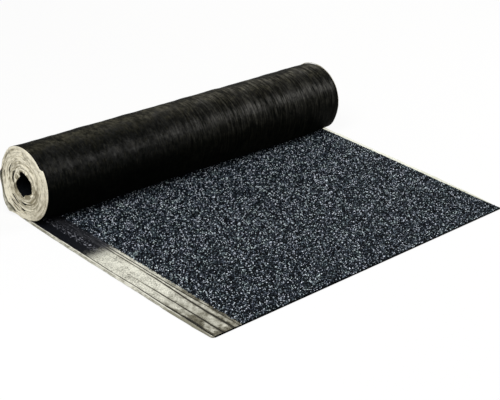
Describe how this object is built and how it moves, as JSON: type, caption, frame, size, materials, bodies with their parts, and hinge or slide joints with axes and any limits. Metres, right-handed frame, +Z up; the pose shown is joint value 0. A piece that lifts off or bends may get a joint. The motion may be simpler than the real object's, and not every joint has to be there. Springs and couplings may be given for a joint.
{
  "type": "roll of roofing felt",
  "caption": "Mineral-faced bitumen roofing felt wound into a roll with an open bore, its outer end unrolled flat, with a bare lap strip along one edge and free film edges.",
  "frame": {"origin": "on the ground, at the middle of the bottom of the bounding box", "axes": "+X along the roll, towards the edge without the bare lap strip; the laid run goes towards -Y from under the roll; +Z up"},
  "size_m": [1.025, 0.7646, 0.1892],
  "materials": {
    "bitumen_sheet": "black bitumen with a thin burn-off film, faint streaks round the roll",
    "mineral_face": "blue-black slate chippings, matt with a few bright faces",
    "lap_film": "silvery cream film, glossy and slightly wrinkled",
    "edge_film": "thin cream film, crumpled"
  },
  "bodies": {
    "root": {"roofing_felt": "bitumen_sheet"}
  },
  "joints": []
}
